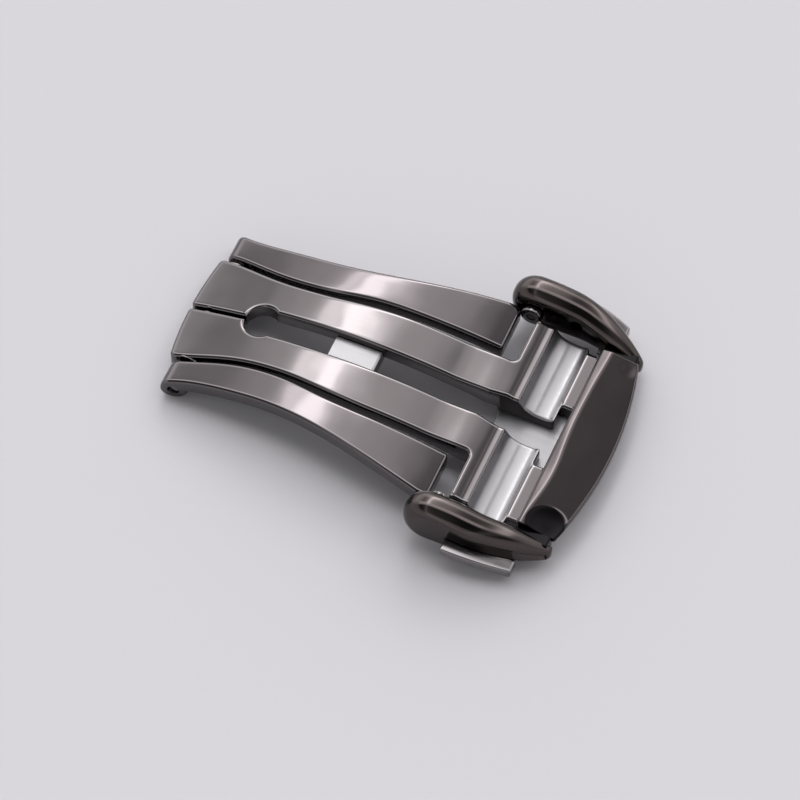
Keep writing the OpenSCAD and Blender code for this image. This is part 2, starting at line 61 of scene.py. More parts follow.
# Hinge and outer bars; the round nose of a bar meets the curve at NOSE_X
KNUCKLE_R, HINGE_PIN_R, HINGE_PIN_HALF, HINGE_HALF = 1.15, 0.45, 7.65, 8.05
NOSE_X, NOSE_RISE = 0.818, 1.101
WAIST_X, WAIST_HALF, FLARE_Y, BAR_END = 7.75, 7.45, 10.02, 25.0
BAR_SIDE_R, BAR_EDGE_R = 0.38, 0.2
SLIT_HINGE_HALF, SLIT_WAIST_HALF, SLIT_COVER_HALF = 5.6, 4.6, 5.6
SLIT_W, SLIT_WIDENS = 0.42, 0.23
# Pivot of the cover
PIVOT_X, PIVOT_Z, PIVOT_EYE_R, PIVOT_PIN_R = 25.95, 3.15, 0.95, 0.4
KNUCKLE_IN, PIVOT_PIN_END = 9.52, 12.2
# Inner blades: bowed end, keyhole, slot and plain outer edge
END_BOW, END_BOW_SIDE, BLADE_KNUCKLE_END = 0.82, 0.25, 5.14
KEYHOLE_X, KEYHOLE_R, SLOT_HALF, SPLIT_HALF = 5.75, 1.5, 1.15, 0.15
BLADE_EDGE, EDGE_FROM_X = 4.75, 17.17
# Their head, with its ridge, trough and lip
HEAD_X, RIDGE_X, TROUGH_END, LIP_END, FINE_FROM_X = 26.6, 28.15, 31.45, 32.75, 25.4
HEAD_SLOT_HALF, NOTCH_HALF, HEAD_HALF, HEAD_REACH, NECK_R = 1.4, 3.0, 8.75, 9.35, 0.5
# Bridge, base plate and studs
BRIDGE_X, BRIDGE_END, BRIDGE_HALF, BRIDGE_T = 12.1, 16.2, 3.2, 0.8
PAD_HALF, PAD_DEPTH = 1.13, 0.75
BASE_T, BASE_END, BASE_HALF, BASE_CORNER = 0.95, 35.6, 8.4, 1.2
STUD_X, STUD_Y = 33.95, 4.6
STUD = [(0.36, 0.0), (0.4, 0.04), (0.4, 1.6), (0.4, 1.62), (0.61, 1.62), (0.65, 1.66), (0.65, 1.82),
        (0.58, 1.88), (0.3, 1.9)]
# Arms of the cover, with the pocket for a button and the hole for a spring bar
NOSE_R, ARM_Y, ARM_T, ARM_TOP_R, ARM_SIDE_R, ARM_EDGE_R = 2.3, 10.12, 2.6, 15.8, 1.25, 0.95
ARM_END, DRAW_X, TIP_IN, TIP_T = 35.95, 30.45, 0.8, 0.95
POCKET_Y, BAR_HOLE_X, BAR_HOLE_Z, BAR_HOLE_R = 11.07, 29.8, 3.4, 0.55
# Visor, its scoops and the parts under it
VISOR_X, VISOR_END, VISOR_HALF, VISOR_T, VISOR_Z = 32.55, 37.15, 9.1, 0.75, 3.1
VISOR_FALL, VISOR_SLOPE, VISOR_FRONT, BOW_R = 0.62, 0.205, 0.125, 33.0
SCOOP_MID, SCOOP_IN, SCOOP_R = 2.75, 0.88, 3.9
RIVET_X, RIVET_Y, CARRIER_TOP = 35.75, 5.6, 1.22
# Buttons, tongues and springs
BUTTON_X, BUTTON_END, BUTTON_Y, BUTTON_T, BUTTON_GAP = 27.7, 33.6, 13.77, 2.0, 0.1
BUTTON_Z, BUTTON_TOP_R, BUTTON_BOW_R, BUTTON_H = 2.78, 26.0, 20.0, 0.85
BUTTON_R, BUTTON_DROOP = 0.14, 0.06
TONGUE_X, TONGUE_W, TONGUE_END, TONGUE_Z, TONGUE_T = 32.95, 2.0, 3.35, 1.27, 0.3
SPRING_Y, SPRING_Z, SPRING_R, WIRE_R = 0.5, 1.57, 0.3, 0.06


# Curves

def step_up(t):
    """Smooth step from 0 to 1."""
    t = np.clip(t, 0, 1)
    return t * t * (3 - 2 * t)


def bezier(p, q, r, s, n=24):
    """Points on a cubic curve."""
    t = np.linspace(0, 1, n + 1)[:, None]
    p, q, r, s = (np.array(v, float) for v in (p, q, r, s))
    return (1 - t) ** 3 * p + 3 * t * (1 - t) ** 2 * q + 3 * t * t * (1 - t) * r + t ** 3 * s


def wrist_curve(x, depth=0.0):
    """Height of the curve of the blades, depth below their upper face."""
    r = WRIST_R - depth
    return CREST_Z - WRIST_R + np.sqrt(r * r - (np.asarray(x, float) - CREST_X) ** 2)


REST = HEAD_X - WAIST_X
SLIT_EDGE = np.vstack([
    bezier((0, SLIT_HINGE_HALF), (0.3 * WAIST_X, SLIT_HINGE_HALF - 0.15),
           (0.55 * WAIST_X, SLIT_WAIST_HALF), (WAIST_X, SLIT_WAIST_HALF)),
    bezier((WAIST_X, SLIT_WAIST_HALF), (WAIST_X + 0.2 * REST, SLIT_WAIST_HALF),
           (WAIST_X + 0.23 * REST, SLIT_COVER_HALF - 0.3),
           (WAIST_X + 0.5 * REST, SLIT_COVER_HALF - 0.2))[1:],
    [[BAR_END, SLIT_COVER_HALF]]])
FLARE = BAR_END - 1 - WAIST_X
BAR_EDGE = np.vstack([
    bezier((0, HINGE_HALF), (0.25 * WAIST_X, WAIST_HALF + 0.05), (0.5 * WAIST_X, WAIST_HALF),
           (WAIST_X, WAIST_HALF)),
    bezier((WAIST_X, WAIST_HALF), (WAIST_X + 0.35 * FLARE, WAIST_HALF + 0.05),
           (WAIST_X + 0.57 * FLARE, WAIST_HALF + 1.35), (BAR_END - 1, FLARE_Y))[1:],
    [[BAR_END - 0.25, FLARE_Y], [BAR_END, FLARE_Y - 0.12]]])


def along(line):
    """Width from the middle by x, read off a line of points."""
    return lambda x: np.interp(x, line[:, 0], line[:, 1])


def flat(value):
    """The same height or width everywhere."""
    return lambda x, *others: 0 * x + value


slit_edge = along(SLIT_EDGE)
bar_edge = along(BAR_EDGE)


def slit_width(x):
    return SLIT_W + SLIT_WIDENS * step_up((np.asarray(x) - WAIST_X) / (CREST_X - WAIST_X))


# Side view of the head: how far its upper face leans down towards the cover, in degrees, by x
LEAN = np.array([
    (22.2, 8.45), (23.2, 1.5), (24.9, 0.2), (25.6, 3.2), (26.1, 7.6), (26.8, 9.0), (27.2, 10.5),
    (27.45, 17), (27.66, 21), (27.76, 0.5), (28.19, -0.6), (28.27, 55), (28.6, 59), (28.78, 47),
    (28.95, 32), (29.2, 27), (29.5, 23.5), (29.7, 12), (29.95, 6), (30.3, 3.8), (30.6, 1),
    (30.8, -6), (31.1, -29), (31.34, -42), (31.4, -9), (31.52, -4), (31.66, 1), (31.8, 2.5),
    (34.0, 3.0)])
LEAN_STEP = 0.01
head_x = np.arange(LEAN[0, 0], LEAN[-1, 0], LEAN_STEP)
lean = np.radians(np.interp(head_x, LEAN[:, 0], LEAN[:, 1]))
head_fall = np.concatenate([[0], np.cumsum(np.tan(lean[:-1]) * LEAN_STEP)])
head_z = wrist_curve(LEAN[0, 0]) - head_fall


def head_top(x, soft=0.05):
    """Height of the inner blades and their head, with its corners softened."""
    x = np.asarray(x, float)
    total = 0
    for d in np.linspace(-soft, soft, 7):
        u = x + d
        total = total + np.where(u < head_x[0], wrist_curve(np.minimum(u, HEAD_X)),
                                 np.interp(u, head_x, head_z))
    return total / 7


def rounded(outline, radius):
    """Rounds the corners of an outline; radius gives one value for each of its points."""
    out = []
    n = len(outline)
    for i in range(n):
        r = radius[i]
        p = np.array(outline[i], float)
        a = np.array(outline[i - 1], float) - p
        b = np.array(outline[(i + 1) % n], float) - p
        la, lb = np.linalg.norm(a), np.linalg.norm(b)
        half = 0.5 * math.acos(max(-1, min(1, float(a @ b) / (la * lb))))
        if r == 0 or half > 1.5:
            out.append(tuple(p))
            continue
        reach = min(r / math.tan(half), 0.9 * la, 0.9 * lb)
        r = reach * math.tan(half)
        q, s = p + a / la * reach, p + b / lb * reach
        mid = p + (a / la + b / lb) / np.linalg.norm(a / la + b / lb) * (r / math.sin(half))
        for t in np.linspace(0, 1, 7):
            v = (1 - t) * (q - mid) + t * (s - mid)
            out.append(tuple(mid + v / np.linalg.norm(v) * r))
    return out


# Mesh tools

SHARP_DEG = 40


def shell_mesh(name, points, faces, mirror, weld):
    """Mesh in metres with its normals outward, from points in millimetres."""
    points = np.array(points, float) * ([1, -1, 1] if mirror else [1, 1, 1])
    points = (points - [SHIFT_X, 0, 0]) * MM
    mesh = bpy.data.meshes.new(name)
    mesh.from_pydata([tuple(p) for p in points], [], faces)
    bm = bmesh.new()
    bm.from_mesh(mesh)
    if weld:
        bmesh.ops.remove_doubles(bm, verts=bm.verts, dist=1e-7)
    bmesh.ops.recalc_face_normals(bm, faces=bm.faces)
    bm.to_mesh(mesh)
    bm.free()
    return mesh


def shade(mesh):
    """Smooth shading, broken at the sharp edges."""
    for p in mesh.polygons:
        p.use_smooth = True
    mesh.set_sharp_from_angle(angle=math.radians(SHARP_DEG))


def make_object(name, verts, faces, look, body, slot, mirror=False, satin=None):
    """Object from points in millimetres, mirrored to the near side if asked.

    satin is a second finish with the lowest and highest x of the upper faces that have it.
    """
    if mirror:
        faces = [tuple(reversed(f)) for f in faces]
    mesh = shell_mesh(name, verts, [tuple(int(i) for i in f) for f in faces], mirror, weld=True)
    shade(mesh)
    mesh.materials.append(look)
    if satin:
        finish, low_x, high_x = satin
        mesh.materials.append(finish)
        for p in mesh.polygons:
            x = min(mesh.vertices[i].co.x for i in p.vertices) / MM + SHIFT_X
            if low_x < x < high_x and p.normal.z > 0.25:
                p.material_index = 1
    obj = bpy.data.objects.new(name, mesh)
    bpy.context.scene.collection.objects.link(obj)
    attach(obj, body)
    return obj


def cut(obj, verts, faces, mirror=False):
    """Takes a closed shell, in millimetres, away from a piece."""
    mesh = shell_mesh("cutter", verts, faces, mirror, weld=False)
    cutter = bpy.data.objects.new("cutter", mesh)
    bpy.context.scene.collection.objects.link(cutter)
    mod = obj.modifiers.new("cut", "BOOLEAN")
    mod.object = cutter
    mod.operation = "DIFFERENCE"
    mod.solver = "EXACT"
    bpy.context.view_layer.update()
    result = obj.evaluated_get(bpy.context.evaluated_depsgraph_get())
    done = bpy.data.meshes.new_from_object(result)
    obj.modifiers.clear()
    old = obj.data
    obj.data = done
    done.name = obj.name
    bpy.data.meshes.remove(old)
    bpy.data.objects.remove(cutter)
    bpy.data.meshes.remove(mesh)
    shade(done)


def quarter(n):
    """Angles of a quarter turn."""
    return np.linspace(0, math.pi / 2, n)


def band_faces(rings, n):
    """Faces that join rings of n points, each to the next."""
    return [(k * n + i, k * n + (i + 1) % n, (k + 1) * n + (i + 1) % n, (k + 1) * n + i)
            for k in range(rings - 1) for i in range(n)]


def tube_faces(rings, n, lying=False):
    """Faces of a tube of rings with closed ends; lying turns the two end faces over."""
    first = tuple(range(n))
    last = tuple(range((rings - 1) * n, rings * n))
    ends = [first, last[::-1]] if lying else [first[::-1], last]
    return band_faces(rings, n) + ends


def inward(loop):
    """Unit normals that point into a loop whose top runs towards +X."""
    a = np.roll(loop, -1, 0) - loop
    b = loop - np.roll(loop, 1, 0)
    a /= np.maximum(np.linalg.norm(a, axis=1, keepdims=True), 1e-9)
    b /= np.maximum(np.linalg.norm(b, axis=1, keepdims=True), 1e-9)
    t = a + b
    t /= np.maximum(np.linalg.norm(t, axis=1, keepdims=True), 1e-9)
    return np.stack([t[:, 1], -t[:, 0]], 1)


def edge_radius(x, top, bottom, most):
    """Radius of a side view's edges: less where it is thin, but kept round its nose."""
    height = top - bottom
    past_nose = np.interp(np.clip(x, x[0] + 1.2, x[-1]), x, height)
    return np.minimum(most, 0.42 * np.maximum(np.maximum(height, past_nose), 0.02))


def side_slab(x, top, bottom, y_in, y_out, side_r, edge_r, rows=6, across=4):
    """Slab drawn as a side view and given a width that may vary, with rounded edges."""
    n = len(x)
    loop = np.vstack([np.stack([x, top], 1), np.stack([x, bottom], 1)[::-1]])
    normal = inward(loop)
    edge = edge_radius(x, top, bottom, edge_r)
    edge = np.concatenate([edge, edge[::-1]])
    ya, yb = y_in(loop[:, 0]), y_out(loop[:, 0])
    side = np.minimum(side_r, 0.48 * (yb - ya))
    rings = [(ya + side * (1 - math.cos(a)), edge * (1 - math.sin(a))) for a in quarter(rows + 1)]
    rings += [(ya + side + (yb - ya - 2 * side) * k / across, 0 * edge) for k in range(1, across)]
    rings += [(yb - side * (1 - math.cos(a)), edge * (1 - math.sin(a)))
              for a in quarter(rows + 1)[::-1]]
    verts = []
    for y, inset in rings:
        p = loop + normal * inset[:, None]
        verts.append(np.stack([p[:, 0], y, p[:, 1]], 1))
    m = 2 * n
    faces = band_faces(len(rings), m)
    for k in (0, len(rings) - 1):
        for i in range(n - 1):
            quad = (k * m + i, k * m + i + 1, k * m + m - 2 - i, k * m + m - 1 - i)
            faces.append(quad if k == 0 else tuple(reversed(quad)))
    return np.vstack(verts), faces


def drum(x, z, r, y_from, y_to, chamfer, n=48):
    """Round bar that lies across the clasp, with broken edges."""
    stations = [(y_from, r - chamfer), (y_from + 0.3 * chamfer, r - 0.3 * chamfer),
                (y_from + chamfer, r), (y_to - chamfer, r),
                (y_to - 0.3 * chamfer, r - 0.3 * chamfer), (y_to, r - chamfer)]
    turn = [2 * math.pi * i / n for i in range(n)]
    verts = [(x + radius * math.cos(a), y, z + radius * math.sin(a))
             for y, radius in stations for a in turn]
    return np.array(verts), tube_faces(len(stations), n, lying=True)


def hole(x, z, r, y_from, y_to):
    """Round bar that cuts a hole across the clasp."""
    return drum(x, z, r, y_from, y_to, 0.001)


def turned(x, y, profile, n=32):
    """Solid turned about an upright axis: profile is a list of (radius, height), upwards."""
    turn = [2 * math.pi * i / n for i in range(n)]
    verts = [(x + r * math.cos(a), y + r * math.sin(a), z) for r, z in profile for a in turn]
    return np.array(verts), tube_faces(len(profile), n)


def joined(*parts):
    """Several closed shells as one mesh."""
    verts, faces, start = [], [], 0
    for v, f in parts:
        verts.append(np.asarray(v, float))
        faces += [tuple(i + start for i in face) for face in f]
        start += len(v)
    return np.vstack(verts), faces


def inside(px, py, poly):
    """Which points lie inside a polygon."""
    hit = np.zeros(px.shape, bool)
    j = len(poly) - 1
    for i in range(len(poly)):
        xi, yi = poly[i]
        xj, yj = poly[j]
        if yi != yj:
            crosses = (yi > py) != (yj > py)
            hit ^= crosses & (px < (xj - xi) * (py - yi) / (yj - yi) + xi)
        j = i
    return hit


def resample(outline, gap, fine_x, fine):
    """Adds points to the long sides of an outline, closer together past fine_x."""
    out = []
    for i in range(len(outline)):
        p = np.array(outline[i], float)
        q = np.array(outline[(i + 1) % len(outline)], float)
        step = fine if min(p[0], q[0]) > fine_x else gap
        n = max(1, int(np.linalg.norm(q - p) / step + 0.999))
        out += [p + (q - p) * k / n for k in range(n)]
    return np.array(out)


def mitres(line):
    """Steps that move a counterclockwise outline inward by one."""
    a = np.roll(line, -1, 0) - line
    b = line - np.roll(line, 1, 0)
    a /= np.linalg.norm(a, axis=1, keepdims=True)
    b /= np.linalg.norm(b, axis=1, keepdims=True)
    na = np.stack([-a[:, 1], a[:, 0]], 1)
    nb = np.stack([-b[:, 1], b[:, 0]], 1)
    bis = na + nb
    bis /= np.maximum(np.linalg.norm(bis, axis=1, keepdims=True), 1e-9)
    return bis / np.maximum((bis * na).sum(1, keepdims=True), 0.5)


def plan_slab(outline, top, bottom, r, gap, low_r=0.06, rows=5, side_r=None, fine_x=99, fine=0.07):
    """Slab drawn from above, counterclockwise, with a curved top and rounded edges.

    Past fine_x the points are closer together along X.
    """
    line = resample(outline, gap, fine_x, fine)
    n = len(line)
    mitre = mitres(line)
    side_r = side_r or r
    rings = []
    for k in range(4):
        f = math.pi / 2 * (1 - k / 3)
        rings.append(("low", low_r * (1 - math.cos(f)), low_r * (1 - math.sin(f))))
    for k in range(rows + 1):
        f = math.pi / 2 * k / rows
        rings.append(("high", side_r * (1 - math.cos(f)), r * (1 - math.sin(f))))
    rings.append(("high", side_r + 0.05, 0.0))
    verts = []
    for where, inset, depth in rings:
        px, py = (line + mitre * inset).T
        pz = top(px, py) - depth if where == "high" else bottom(px, py) + depth
        verts += [tuple(v) for v in np.stack([px, py, pz], 1)]
    faces = band_faces(len(rings), n)
    for ring, surface in ((len(rings) - 1, top), (0, bottom)):
        edge = line + mitre * rings[ring][1]
        core = line + mitre * (rings[ring][1] + 0.45 * gap)
        low, high = edge.min(0), edge.max(0)
        columns = np.concatenate([np.arange(low[0] + gap / 2, min(high[0], fine_x), gap),
                                  np.arange(fine_x, high[0], fine)])
        gx, gy = np.meshgrid(columns, np.arange(low[1] + gap / 2, high[1], gap))
        gx, gy = gx.ravel(), gy.ravel()
        keep = inside(gx, gy, core)
        pts = [Vector(p) for p in edge] + [Vector(p) for p in zip(gx[keep], gy[keep])]
        co, _, tris, source, _, _ = delaunay_2d_cdt(pts, [], [list(range(n))], 1, 1e-6)
        index = {}
        for i, p in enumerate(co):
            rim = [s for s in source[i] if s < n]
            if rim:
                index[i] = ring * n + rim[0]
            else:
                index[i] = len(verts)
                verts.append((p.x, p.y, float(surface(np.array([p.x]), np.array([p.y]))[0])))
        for tri in tris:
            f = tuple(index[i] for i in tri)
            faces.append(f if ring else tuple(reversed(f)))
    return np.array(verts), faces


def box_shell(low, high):
    """Plain box, used only to cut other pieces."""
    verts = [(x, y, z) for x in (low[0], high[0]) for y in (low[1], high[1])
             for z in (low[2], high[2])]
    faces = [(0, 1, 3, 2), (4, 6, 7, 5), (0, 4, 5, 1), (2, 3, 7, 6), (0, 2, 6, 4), (1, 5, 7, 3)]
    return np.array(verts, float), faces


def round_end(x, top, bottom, end, r):
    """Rounds the two corners of a side view at its cut end."""
    drop = r - np.sqrt(np.maximum(r * r - np.maximum(x - (end - r), 0) ** 2, 0))
    return top - drop, bottom + drop


# Finishes

# Per metre: clouds in the polish, marks drawn out along X, and shallow waves
CLOUD_SCALE, MARK_SCALE, WAVE_SCALE = 260, (350, 4200, 2500), 190
MARK_DEPTH, WAVE_DEPTH = 0.00001, 0.0001


def feed(tree, socket, value):
    """Gives a socket a number or a colour, or links another socket to it."""
    if isinstance(value, bpy.types.NodeSocket):
        tree.links.new(value, socket)
    else:
        socket.default_value = value


def add_node(tree, kind, **inputs):
    """New node with its inputs; an underscore stands for a space in their names."""
    node = tree.nodes.new(kind)
    for name, value in inputs.items():
        feed(tree, node.inputs[name.replace("_", " ")], value)
    return node


def arithmetic(tree, operation, *values):
    """Result of a sum on numbers or sockets."""
    node = tree.nodes.new("ShaderNodeMath")
    node.operation = operation
    for socket, value in zip(node.inputs, values):
        feed(tree, socket, value)
    return node.outputs[0]


def mix(tree, kind, factor, a, b, blend="MIX"):
    """Mix of two numbers (FLOAT) or two colours (RGBA)."""
    node = tree.nodes.new("ShaderNodeMix")
    node.data_type = kind
    node.blend_type = blend
    for name, value in (("Factor", factor), ("A", a), ("B", b)):
        feed(tree, node.inputs[name], value)
    return node.outputs["Result"]


def new_group(name, given, made):
    """Node group with numbers going in and coming out: the group, its input and its output."""
    group = bpy.data.node_groups.new(name, "ShaderNodeTree")
    for direction, sockets in (("INPUT", given), ("OUTPUT", made)):
        for socket in sockets:
            group.interface.new_socket(socket, in_out=direction, socket_type="NodeSocketFloat")
    return group, group.nodes.new("NodeGroupInput"), group.nodes.new("NodeGroupOutput")


def marks_group():
    """Fine polishing marks: a roughness, a tone and a height for the steel."""
    group, given, out = new_group("polish_marks", ("Low", "High"), ("Roughness", "Height", "Tone"))
    place = group.nodes.new("ShaderNodeTexCoord").outputs["Object"]
    cloud = add_node(group, "ShaderNodeTexNoise", Vector=place, Scale=CLOUD_SCALE, Detail=5)
    drawn = add_node(group, "ShaderNodeMapping", Vector=place, Scale=MARK_SCALE)
    marks = add_node(group, "ShaderNodeTexNoise", Vector=drawn.outputs["Vector"], Scale=1, Detail=3)
    half_cloud = arithmetic(group, "MULTIPLY", cloud.outputs["Fac"], 0.5)
    both = arithmetic(group, "MULTIPLY_ADD", marks.outputs["Fac"], 0.5, half_cloud)
    spread = add_node(group, "ShaderNodeMapRange", Value=both, From_Min=0.35, From_Max=0.65,
                      To_Min=given.outputs["Low"], To_Max=given.outputs["High"])
    feed(group, out.inputs["Roughness"], spread.outputs["Result"])
    feed(group, out.inputs["Height"], marks.outputs["Fac"])
    feed(group, out.inputs["Tone"], cloud.outputs["Fac"])
    return group


def waves_group():
    """Shallow waves left by hand polishing, as a height."""
    group, _, out = new_group("polish_waves", (), ("Height",))
    place = group.nodes.new("ShaderNodeTexCoord").outputs["Object"]
    waves = add_node(group, "ShaderNodeTexNoise", Vector=place, Scale=WAVE_SCALE, Detail=1,
                     Roughness=0.4)
    feed(group, out.inputs["Height"], waves.outputs["Fac"])
    return group


MARKS = marks_group()
WAVES = waves_group()


def steel(name, light, dark, low, high, bump):
    """Polished metal: two tones, a range of roughness and the strength of its marks."""
    mat = bpy.data.materials.new(name)
    mat.use_nodes = True
    tree = mat.node_tree
    shader = tree.nodes["Principled BSDF"]
    shader.inputs["Metallic"].default_value = 1
    marks = tree.nodes.new("ShaderNodeGroup")
    marks.node_tree = MARKS
    marks.inputs["Low"].default_value = low
    marks.inputs["High"].default_value = high
    waves = tree.nodes.new("ShaderNodeGroup")
    waves.node_tree = WAVES
    tone = mix(tree, "RGBA", marks.outputs["Tone"], (*dark, 1), (*light, 1))
    sway = add_node(tree, "ShaderNodeBump", Strength=1, Distance=WAVE_DEPTH,
                    Height=waves.outputs["Height"])
    relief = add_node(tree, "ShaderNodeBump", Strength=bump, Distance=MARK_DEPTH,
                      Height=marks.outputs["Height"], Normal=sway.outputs["Normal"])
    feed(tree, shader.inputs["Base Color"], tone)
    feed(tree, shader.inputs["Roughness"], marks.outputs["Roughness"])
    feed(tree, shader.inputs["Normal"], relief.outputs["Normal"])
    return mat


def painted_scoop_shade(mat, x, y, reach):
    """Paints shade into the bowl of a scoop in a finish: blackens and dulls it as far as its rim.
    """
    tree = mat.node_tree
    place = tree.nodes.new("ShaderNodeTexCoord").outputs["Object"]
    plan = tree.nodes.new("ShaderNodeVectorMath")
    plan.operation = "MULTIPLY"
    feed(tree, plan.inputs[0], place)
    feed(tree, plan.inputs[1], (1 / MM, 1 / MM, 0))
    away = tree.nodes.new("ShaderNodeVectorMath")
    away.operation = "DISTANCE"
    feed(tree, away.inputs[0], plan.outputs["Vector"])
    feed(tree, away.inputs[1], (x - SHIFT_X, y, 0))
    rim = add_node(tree, "ShaderNodeMapRange", Value=away.outputs["Value"],
                   From_Min=reach - 0.1, From_Max=reach + 0.04)
    rim.interpolation_type = "SMOOTHSTEP"
    # Painted shade: a near-black colour inside the scoop's bowl stands in for the shade in the
    # dish.
    for name, kind, bowl in (("Base Color", "RGBA", (0.010, 0.009, 0.010, 1)),
                             ("Roughness", "FLOAT", 0.4)):
        socket = tree.nodes["Principled BSDF"].inputs[name]
        around = socket.links[0].from_socket
        feed(tree, socket, mix(tree, kind, rim.outputs["Result"], bowl, around))
    return mat


BLACK = steel("black_polished_steel",
              (0.142, 0.129, 0.133), (0.122, 0.111, 0.114), 0.05, 0.09, 0.06)
GREY = steel("grey_polished_steel",
             (0.156, 0.144, 0.147), (0.136, 0.125, 0.128), 0.05, 0.09, 0.06)
SATIN = steel("satin_trough_steel",
              (0.318, 0.311, 0.323), (0.275, 0.269, 0.28), 0.30, 0.38, 0.10)
# The cover's polished steel made darker on the arms than on the visor: partly painted shade on the
# arms. The pivot pins wear it too.
SHADED_ARM_STEEL = steel("arm_polished_steel_painted_shade",
             (0.084, 0.072, 0.070), (0.068, 0.058, 0.056), 0.11, 0.17, 0.06)
# Painted shade: near-black steel that stands in for the shade on the blocks between the visor's
# ends and the arms.
PAINTED_SHADE_BLACK = steel("painted_shade_black_steel",
               (0.012, 0.011, 0.012), (0.008, 0.008, 0.008), 0.2, 0.3, 0.06)
# Plate steel made lighter on the bridge than on the base plate: the plate's own colour plus painted
# light that lifts the bridge out of the shade under the blades.
LIT_BRIDGE_STEEL = steel("bridge_steel_painted_light", (0.32, 0.316, 0.326), (0.28, 0.276, 0.285), 0.38, 0.46, 0.2)
PLATE = steel("plate_steel", (0.28, 0.276, 0.286), (0.24, 0.237, 0.246), 0.40, 0.50, 0.2)
BUTTON = steel("button_steel", (0.26, 0.243, 0.248), (0.22, 0.205, 0.21), 0.14, 0.2, 0.08)
PIN = steel("pin_steel", (0.22, 0.212, 0.215), (0.18, 0.174, 0.177), 0.16, 0.26, 0.1)
VISOR_FINISH = ((0.097, 0.085, 0.087), (0.083, 0.073, 0.075), 0.07, 0.12, 0.06)
COVER = steel("cover_polished_steel", *VISOR_FINISH)
# The visor's finish carries painted shade in its near scoop.
VISOR = painted_scoop_shade(steel("visor_steel_with_painted_scoop_shade", *VISOR_FINISH),
                VISOR_X + SCOOP_MID - 0.65, SCOOP_IN - VISOR_HALF, 1.7)


# Outer bars

def hinge_stations(end):
    """Places along a bar with a round hinge end, close together where it curves."""
    nose = KNUCKLE_R * (1 - np.cos(quarter(16)))
    under = KNUCKLE_R * (1 + np.sin(quarter(14)))[1:]
    rest = np.arange(2 * KNUCKLE_R + 0.08, end - 0.26, 0.16)
    tail = end - 0.2 * (1 - np.sin(quarter(8)))
    return np.concatenate([nose, under, rest, tail])


def bar_heights(x):
    """Upper and lower face of an outer bar: a round nose, then the curve of the blades."""
    circle = np.sqrt(np.maximum(KNUCKLE_R ** 2 - (x - KNUCKLE_R) ** 2, 0))
    lift = (wrist_curve(NOSE_X) - KNUCKLE_R) / NOSE_RISE
    top = np.where(x < NOSE_X, KNUCKLE_R + circle * lift, wrist_curve(x))
    below = wrist_curve(x, BLADE_T)
    under = np.where(x < KNUCKLE_R, KNUCKLE_R - circle,
                     np.where(x < 2 * KNUCKLE_R, np.minimum(KNUCKLE_R - circle, below), below))
    return top, under


def outer_bar():
    """Bar with the slim eye that carries the pivot of the cover."""
    x = hinge_stations(BAR_END)
    top, under = round_end(x, *bar_heights(x), BAR_END, 0.2)
    blade = side_slab(x, top, under, slit_edge, bar_edge, BAR_SIDE_R, BAR_EDGE_R, rows=8)
    eye = drum(PIVOT_X, PIVOT_Z, PIVOT_EYE_R, KNUCKLE_IN, FLARE_Y, 0.1, 64)
    x = np.linspace(BAR_END - 1.2, PIVOT_X, 8)
    neck = side_slab(x, wrist_curve(x, 0.1), wrist_curve(x, BLADE_T), flat(KNUCKLE_IN),
                     flat(FLARE_Y), 0.1, 0.1)
    return joined(blade, eye, neck)


for mirror, side in SIDES:
    bar = make_object(f"outer_bar_body_{side}", *outer_bar(), BLACK, "outer_bars", "black_steel",
                      mirror)
    cut(bar, *hole(KNUCKLE_R, KNUCKLE_R, HINGE_PIN_R + 0.05, 5.0, 9.0), mirror)
    cut(bar, *hole(PIVOT_X, PIVOT_Z, PIVOT_PIN_R + 0.01, KNUCKLE_IN - 0.5, FLARE_Y + 0.5), mirror)
    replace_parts(bar, f"outer_bar_{side}")
    pin = drum(PIVOT_X, PIVOT_Z, PIVOT_PIN_R, KNUCKLE_IN + 0.05, PIVOT_PIN_END, 0.06)
    # The pivot pin takes the arms' darker finish instead of pin steel: painted shade inside the
    # eye.
    pin = make_object(f"pivot_pin_{side}", *pin, SHADED_ARM_STEEL, "outer_bars", "pin_steel", mirror)
    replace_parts(pin, f"cover_pivot_pin_{side}")


# Inner blades with their head

